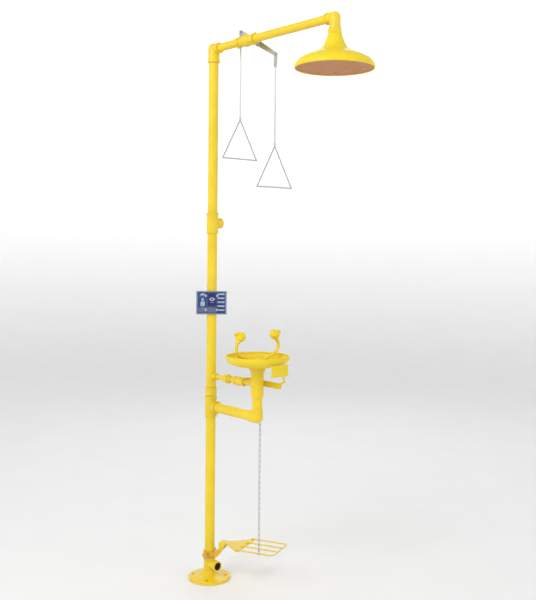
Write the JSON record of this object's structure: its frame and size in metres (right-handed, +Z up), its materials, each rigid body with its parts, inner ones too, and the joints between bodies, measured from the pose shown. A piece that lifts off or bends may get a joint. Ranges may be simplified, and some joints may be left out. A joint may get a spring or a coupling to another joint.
{
  "type": "emergency safety shower",
  "caption": "Free-standing emergency shower with eye and face wash: yellow pipe riser, overhead spray, pull handles, bowl with capped nozzles, foot treadle.",
  "frame": {"origin": "centre of the floor flange's underside, on the riser's axis", "axes": "+Z up the riser, +X along the shower arm toward the shower head"},
  "size_m": [0.974, 0.3562, 2.353],
  "materials": {
    "yellow_coating": "gloss powder coat",
    "deep_yellow_coating": "gloss powder coat",
    "yellow_plastic": "gloss",
    "stainless_steel": "brushed",
    "zinc_chain": "dull zinc",
    "valve_chrome": "polished",
    "valve_seat": "matte",
    "sign_blue": "satin print"
  },
  "bodies": {
    "stand": {"floor_flange": "yellow_coating", "flange_nipple": "yellow_coating", "waste_tee": "yellow_coating", "lower_riser_pipe": "yellow_coating", "drain_tee": "yellow_coating", "riser_nipple": "yellow_coating", "blanking_plug": "yellow_coating", "riser_collar": "yellow_coating", "middle_riser_pipe": "yellow_coating", "inlet_tee": "yellow_coating", "upper_riser_pipe": "yellow_coating", "top_elbow": "yellow_coating", "arm_nipple": "yellow_coating", "shower_valve_body": "yellow_coating", "shower_valve_seats": "valve_seat", "shower_gland_nut": "stainless_steel", "shower_arm_pipe": "yellow_coating", "outlet_elbow": "yellow_coating", "head_nipple": "yellow_coating", "neck_nut": "yellow_coating", "shower_head": "yellow_plastic", "spray_plate": "yellow_plastic", "plate_screws": "stainless_steel", "sign_plate": "sign_blue", "sign_saddles": "stainless_steel", "sign_u_bolts": "stainless_steel", "supply_boss": "yellow_coating", "supply_nipple": "yellow_coating", "supply_union": "yellow_coating", "eyewash_valve_body": "yellow_coating", "eyewash_valve_seats": "valve_seat", "eyewash_gland_nut": "stainless_steel", "supply_pipe": "yellow_coating", "drain_arm_pipe": "yellow_coating", "drain_elbow": "yellow_coating", "column_body": "yellow_coating", "column_head": "yellow_coating", "inner_supply_tube": "stainless_steel", "bowl": "yellow_plastic", "drain_strainer": "stainless_steel", "manifold": "yellow_plastic", "nozzle_tubes": "yellow_coating", "nozzle_heads": "yellow_plastic", "spray_discs": "stainless_steel", "treadle_bracket": "deep_yellow_coating", "clamp_back": "deep_yellow_coating", "clamp_bolts": "stainless_steel"},
    "shower_lever": {"shower_ball_stem": "valve_chrome", "shower_lever": "stainless_steel"},
    "on_hook": {"on_hook": "stainless_steel"},
    "off_hook": {"off_hook": "stainless_steel"},
    "on_pull": {"on_pull": "stainless_steel"},
    "off_pull": {"off_pull": "stainless_steel"},
    "eyewash_lever": {"eyewash_ball_stem": "valve_chrome", "eyewash_lever": "yellow_coating", "push_plate": "yellow_plastic"},
    "chain": {"chain": "zinc_chain"},
    "treadle": {"treadle": "yellow_coating"},
    "left_dust_cap": {"left_dust_cap": "yellow_plastic"},
    "right_dust_cap": {"right_dust_cap": "yellow_plastic"}
  },
  "joints": [
    {"name": "shower_lever_turn", "type": "hinge", "parent": "stand", "child": "shower_lever", "pos_m": [0.223, 0, 2.28], "axis": [0, -1, 0], "range_deg": [0, 90]},
    {"name": "on_hook_level", "type": "hinge", "parent": "shower_lever", "child": "on_hook", "pos_m": [0.11042, 0.06, 2.345], "axis": [0, -1, 0], "range_deg": [-91, 1]},
    {"name": "off_hook_level", "type": "hinge", "parent": "shower_lever", "child": "off_hook", "pos_m": [0.33558, 0.06, 2.215], "axis": [0, -1, 0], "range_deg": [-91, 1]},
    {"name": "on_pull_swing", "type": "hinge", "parent": "on_hook", "child": "on_pull", "pos_m": [0.11042, 0.06, 2.305], "axis": [1, 0, 0], "range_deg": [-15, 15]},
    {"name": "off_pull_swing", "type": "hinge", "parent": "off_hook", "child": "off_pull", "pos_m": [0.33558, 0.06, 2.175], "axis": [1, 0, 0], "range_deg": [-15, 15]},
    {"name": "treadle_press", "type": "hinge", "parent": "stand", "child": "treadle", "pos_m": [0.05619, 0.0262, 0.14], "axis": [-0.4226, 0.9063, 0], "range_deg": [0, 15.1]},
    {"name": "eyewash_lever_turn", "type": "hinge", "parent": "stand", "child": "eyewash_lever", "pos_m": [0.195, 0, 0.872], "axis": [0, 1, 0], "range_deg": [-0.5, 45.5]},
    {"name": "chain_lean", "type": "hinge", "parent": "eyewash_lever", "child": "chain", "pos_m": [0.27634, 0.0439, 0.865], "axis": [0, 1, 0], "range_deg": [-48.11, 1]},
    {"name": "left_dust_cap_flip", "type": "hinge", "parent": "stand", "child": "left_dust_cap", "pos_m": [0.31, -0.11138, 1.08453], "axis": [1, 0, 0], "range_deg": [0, 105]},
    {"name": "right_dust_cap_flip", "type": "hinge", "parent": "stand", "child": "right_dust_cap", "pos_m": [0.31, 0.11138, 1.08453], "axis": [-1, 0, 0], "range_deg": [0, 105]}
  ],
  "couplings": [
    {"joint": "on_hook_level", "follows": "shower_lever_turn", "ratio": -1},
    {"joint": "off_hook_level", "follows": "shower_lever_turn", "ratio": -1},
    {"joint": "eyewash_lever_turn", "follows": "treadle_press", "ratio": 2.9801},
    {"joint": "chain_lean", "follows": "treadle_press", "ratio": -3.12}
  ]
}
